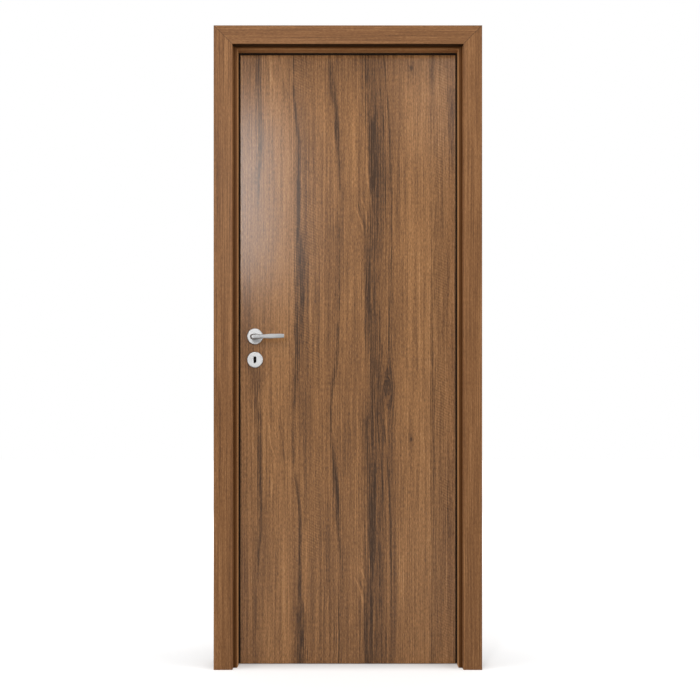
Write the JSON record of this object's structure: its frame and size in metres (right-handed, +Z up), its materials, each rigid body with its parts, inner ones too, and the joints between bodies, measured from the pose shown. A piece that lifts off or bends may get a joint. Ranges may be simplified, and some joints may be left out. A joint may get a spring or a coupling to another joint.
{
  "type": "interior door set",
  "caption": "Flush walnut-decor MDF door leaf hung in its lined frame with mitred casings, black seals, a lever handle on round roses and a keyhole escutcheon.",
  "frame": {"origin": "On the wall side of the hinge jamb, at floor level, in the plane of the leaf's front face.", "axes": "X along the wall from the lock side to the hinge side, Y through the wall away from the viewer of the picture, Z up."},
  "size_m": [0.874, 0.1558, 2.073],
  "materials": {
    "leaf_decor": "walnut decor foil, satin",
    "leaf_edge": "walnut decor edging, satin",
    "casing_decor": "straight-grained walnut decor foil, satin",
    "frame_decor": "straight-grained walnut decor foil, satin",
    "raw_board": "raw board",
    "seal_rubber": "matte black rubber",
    "satin_aluminium": "satin brushed",
    "satin_steel": "satin"
  },
  "bodies": {
    "frame": {"lock_jamb": "frame_decor", "hinge_jamb": "frame_decor", "head_jamb": "frame_decor", "lock_stop": "frame_decor", "hinge_stop": "frame_decor", "head_stop": "frame_decor", "front_left_casing": "casing_decor", "front_right_casing": "casing_decor", "front_head_casing": "casing_decor", "back_left_casing": "casing_decor", "back_right_casing": "casing_decor", "back_head_casing": "casing_decor", "lock_seal": "seal_rubber", "hinge_seal": "seal_rubber", "head_seal": "seal_rubber", "strike_plate": "satin_steel", "upper_hinge_frame_half": "satin_steel", "middle_hinge_frame_half": "satin_steel", "lower_hinge_frame_half": "satin_steel"},
    "leaf": {"leaf_front_panel": "leaf_decor", "leaf_back_panel": "leaf_decor", "leaf_core": "raw_board", "leaf_bottom_rail": "raw_board", "leaf_top_lipping": "leaf_edge", "leaf_hinge_lipping": "leaf_edge", "leaf_lock_lipping": "leaf_edge", "lock_faceplate": "satin_steel", "lock_case": "satin_steel", "latch_bolt": "satin_steel", "dead_bolt": "satin_steel", "front_rosette": "satin_aluminium", "back_rosette": "satin_aluminium", "front_escutcheon": "satin_aluminium", "back_escutcheon": "satin_aluminium", "upper_hinge_leaf_half": "satin_steel", "middle_hinge_leaf_half": "satin_steel", "lower_hinge_leaf_half": "satin_steel"},
    "handle": {"front_lever": "satin_aluminium", "back_lever": "satin_aluminium", "spindle": "satin_steel"}
  },
  "joints": [
    {"name": "door_swing", "type": "hinge", "parent": "frame", "child": "leaf", "pos_m": [-0.0305, 0.0475, 0], "axis": [0, 0, -1], "range_deg": [0, 110]},
    {"name": "lever_turn", "type": "hinge", "parent": "leaf", "child": "handle", "pos_m": [-0.699, 0, 1.069], "axis": [0, 1, 0], "range_deg": [0, 45], "stiffness_Nm_per_rad": 1.2, "springref_deg": -22.92}
  ]
}
